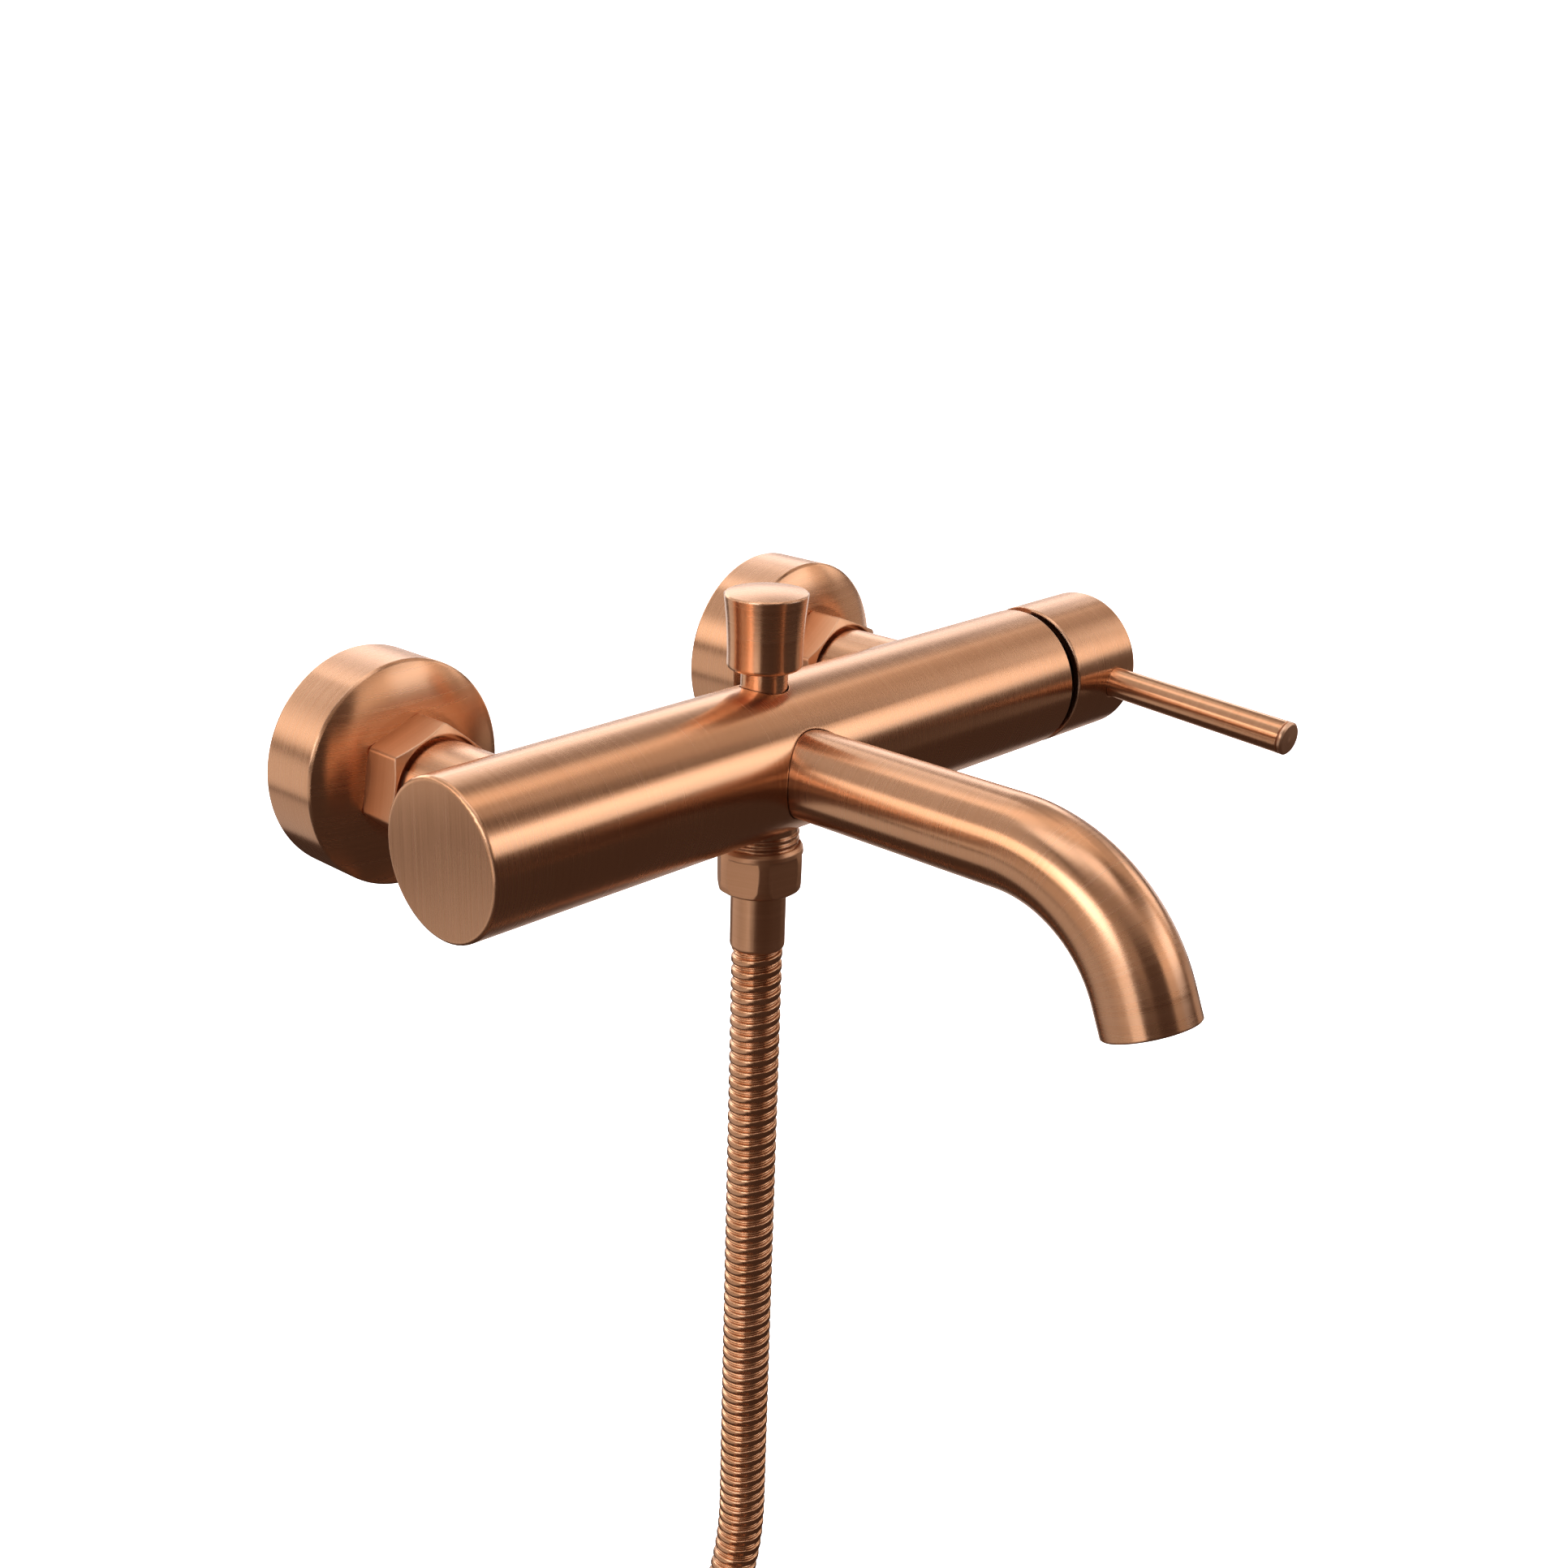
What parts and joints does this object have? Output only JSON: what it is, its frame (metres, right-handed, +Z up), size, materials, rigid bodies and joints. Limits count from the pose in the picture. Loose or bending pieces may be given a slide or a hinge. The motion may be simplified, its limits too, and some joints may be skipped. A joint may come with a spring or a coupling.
{
  "type": "wall mounted bath faucet",
  "caption": "Wall mounted bath mixer with side lever, curved spout, pull-up shower diverter and a metal shower hose, on two offset unions with round cover plates.",
  "frame": {"origin": "on the wall plane, midway between the two inlet axes", "axes": "+X along the body towards the lever, +Y into the wall, +Z up"},
  "size_m": [0.3371, 0.2565, 0.4059],
  "materials": {
    "brushed_copper": "brushed, copper coloured coating on brass",
    "raw_brass": "machined brass inside",
    "steel": "stainless steel",
    "black_rubber": "matte black rubber",
    "white_plastic": "moulded acetal",
    "grey_plastic": "moulded polyamide",
    "ceramic": "polished ceramic",
    "hose_copper": "copper coloured wound metal hose",
    "dark_trim": "dark sleeve in the handle gap"
  },
  "bodies": {
    "fixed_body": {"mixer_body": "brushed_copper", "cartridge_base": "grey_plastic", "cartridge_seals": "black_rubber", "fixed_ceramic_disc": "ceramic", "cartridge_housing": "grey_plastic", "cartridge_nut": "raw_brass", "gap_ring": "dark_trim", "spout_tube": "brushed_copper", "spout_seal": "black_rubber", "aerator_housing": "brushed_copper", "aerator_insert": "grey_plastic", "aerator_washer": "black_rubber", "diverter_bonnet": "raw_brass", "stem_seal": "black_rubber", "diverter_spring": "steel", "shower_nipple": "brushed_copper", "check_valve_housing": "white_plastic", "check_valve_spring": "steel", "hose_washer": "black_rubber", "hose_nut": "brushed_copper", "hose_ferrule": "brushed_copper", "shower_hose": "hose_copper", "hose_coil": "hose_copper", "hose_tail": "hose_copper", "far_ferrule": "brushed_copper", "far_nut": "brushed_copper", "far_washer": "black_rubber", "s_union_left": "raw_brass", "cover_plate_left": "brushed_copper", "union_nut_left": "brushed_copper", "filter_washer_left": "black_rubber", "inlet_seat_left": "raw_brass", "s_union_right": "raw_brass", "cover_plate_right": "brushed_copper", "union_nut_right": "brushed_copper", "filter_washer_right": "black_rubber", "inlet_seat_right": "raw_brass"},
    "cartridge_turret": {"stem_guide": "white_plastic", "spindle_pin": "steel"},
    "handle": {"control_spindle": "raw_brass", "handle_cap": "brushed_copper", "handle_set_screw": "steel", "handle_plug": "brushed_copper", "lever_rod": "brushed_copper", "lever_tip": "brushed_copper"},
    "mixing_disc": {"moving_ceramic_disc": "ceramic", "disc_carrier": "white_plastic"},
    "diverter": {"diverter_knob": "brushed_copper", "diverter_stem": "steel", "diverter_washer": "black_rubber", "diverter_retainer": "raw_brass"},
    "check_plunger": {"check_valve_poppet": "grey_plastic"}
  },
  "joints": [
    {"name": "temperature", "type": "hinge", "parent": "fixed_body", "child": "cartridge_turret", "pos_m": [0.0995, -0.0726, 0], "axis": [1, 0, 0], "range_deg": [-48.8, 41.2]},
    {"name": "flow", "type": "hinge", "parent": "cartridge_turret", "child": "handle", "pos_m": [0.0995, -0.0726, 0], "axis": [0, -0.0663, 0.9978], "range_deg": [0, 20]},
    {"name": "disc_shift", "type": "slide", "parent": "cartridge_turret", "child": "mixing_disc", "axis": [0, -0.9978, -0.0663], "range_m": [0, 0.0019]},
    {"name": "diverter_pull", "type": "slide", "parent": "fixed_body", "child": "diverter", "axis": [0, 0, 1], "range_m": [0, 0.0076], "stiffness_N_per_m": 120, "springref_m": -0.006, "deforming": ["diverter_spring"]},
    {"name": "check_valve", "type": "slide", "parent": "fixed_body", "child": "check_plunger", "axis": [0, 0, -1], "range_m": [0, 0.002], "stiffness_N_per_m": 40, "springref_m": -0.004, "deforming": ["check_valve_spring"]}
  ],
  "couplings": [
    {"joint": "disc_shift", "follows": "flow", "m_per_rad": 0.00543}
  ]
}
